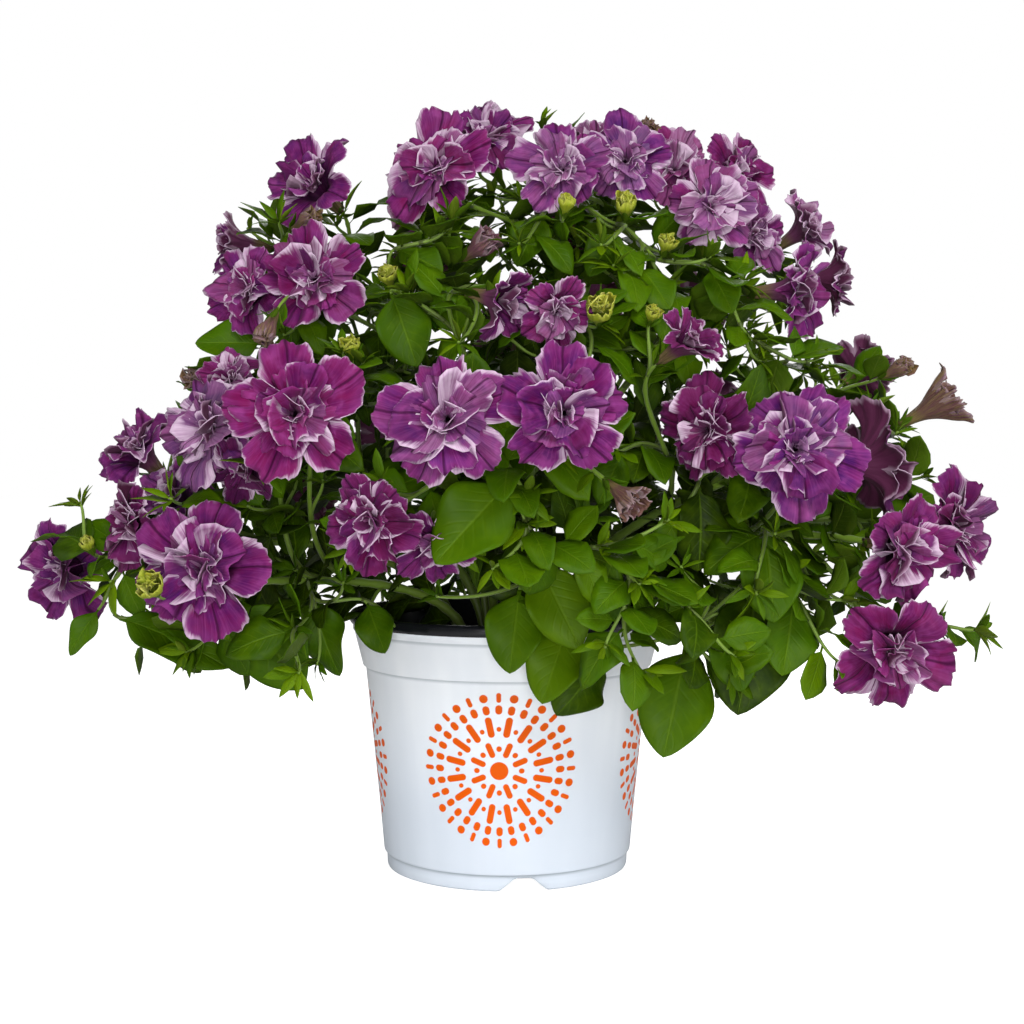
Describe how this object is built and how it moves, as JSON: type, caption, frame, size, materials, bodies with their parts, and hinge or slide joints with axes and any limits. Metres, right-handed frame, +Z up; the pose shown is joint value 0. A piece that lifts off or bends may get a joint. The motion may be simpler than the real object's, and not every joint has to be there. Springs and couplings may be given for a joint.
{
  "type": "potted double petunia",
  "caption": "Bushy double-flowered petunia with ruffled purple, white-edged flowers and green leaves, growing in a round white nursery pot.",
  "frame": {"origin": "centre of the pot's foot, on the surface that the pot stands on, under the middle of the plant", "axes": "+Z up; -Y towards the front of the plant; +X to the right of someone who looks at the front, along its widest way"},
  "size_m": [0.5771, 0.4654, 0.4608],
  "materials": {
    "pot_plastic": "thin formed polypropylene, white outside and black inside, soft gloss, orange printed sunbursts of dots and bars",
    "potting_mix": "dark moist peat and bark crumbs, matt",
    "foliage": "soft mid-green leaves and pale green stems with fine hairs, satin",
    "petals": "velvety purple petals with a darker midvein and ragged white edges"
  },
  "bodies": {
    "root": {"pot": "pot_plastic", "potting_mix": "potting_mix", "shoot_back_left": "foliage", "shoot_back_right": "foliage", "shoot_front_left": "foliage", "shoot_front_right": "foliage", "shoot_left_front": "foliage", "shoot_left_side": "foliage", "shoot_right_front": "foliage", "shoot_right_low": "foliage", "shoot_right_side": "foliage", "shoot_top": "foliage", "shoot_top_left": "foliage", "shoot_top_right": "foliage", "flower_back_1": "petals", "flower_back_10": "petals", "flower_back_11": "petals", "flower_back_12": "petals", "flower_back_2": "petals", "flower_back_3": "petals", "flower_back_4": "petals", "flower_back_5": "petals", "flower_back_6": "petals", "flower_back_7": "petals", "flower_back_8": "petals", "flower_back_9": "petals", "flower_front_1": "petals", "flower_front_2": "petals", "flower_front_3": "petals", "flower_front_4": "petals", "flower_front_5": "petals", "flower_left_1": "petals", "flower_left_10": "petals", "flower_left_2": "petals", "flower_left_3": "petals", "flower_left_4": "petals", "flower_left_5": "petals", "flower_left_6": "petals", "flower_left_7": "petals", "flower_left_8": "petals", "flower_left_9": "petals", "flower_mid_1": "petals", "flower_right_1": "petals", "flower_right_10": "petals", "flower_right_11": "petals", "flower_right_2": "petals", "flower_right_3": "petals", "flower_right_4": "petals", "flower_right_5": "petals", "flower_right_6": "petals", "flower_right_7": "petals", "flower_right_8": "petals", "flower_right_9": "petals", "flower_top_1": "petals", "flower_top_2": "petals", "flower_top_3": "petals", "flower_top_4": "petals", "flower_top_5": "petals", "flower_top_6": "petals", "flower_top_7": "petals"}
  },
  "joints": []
}
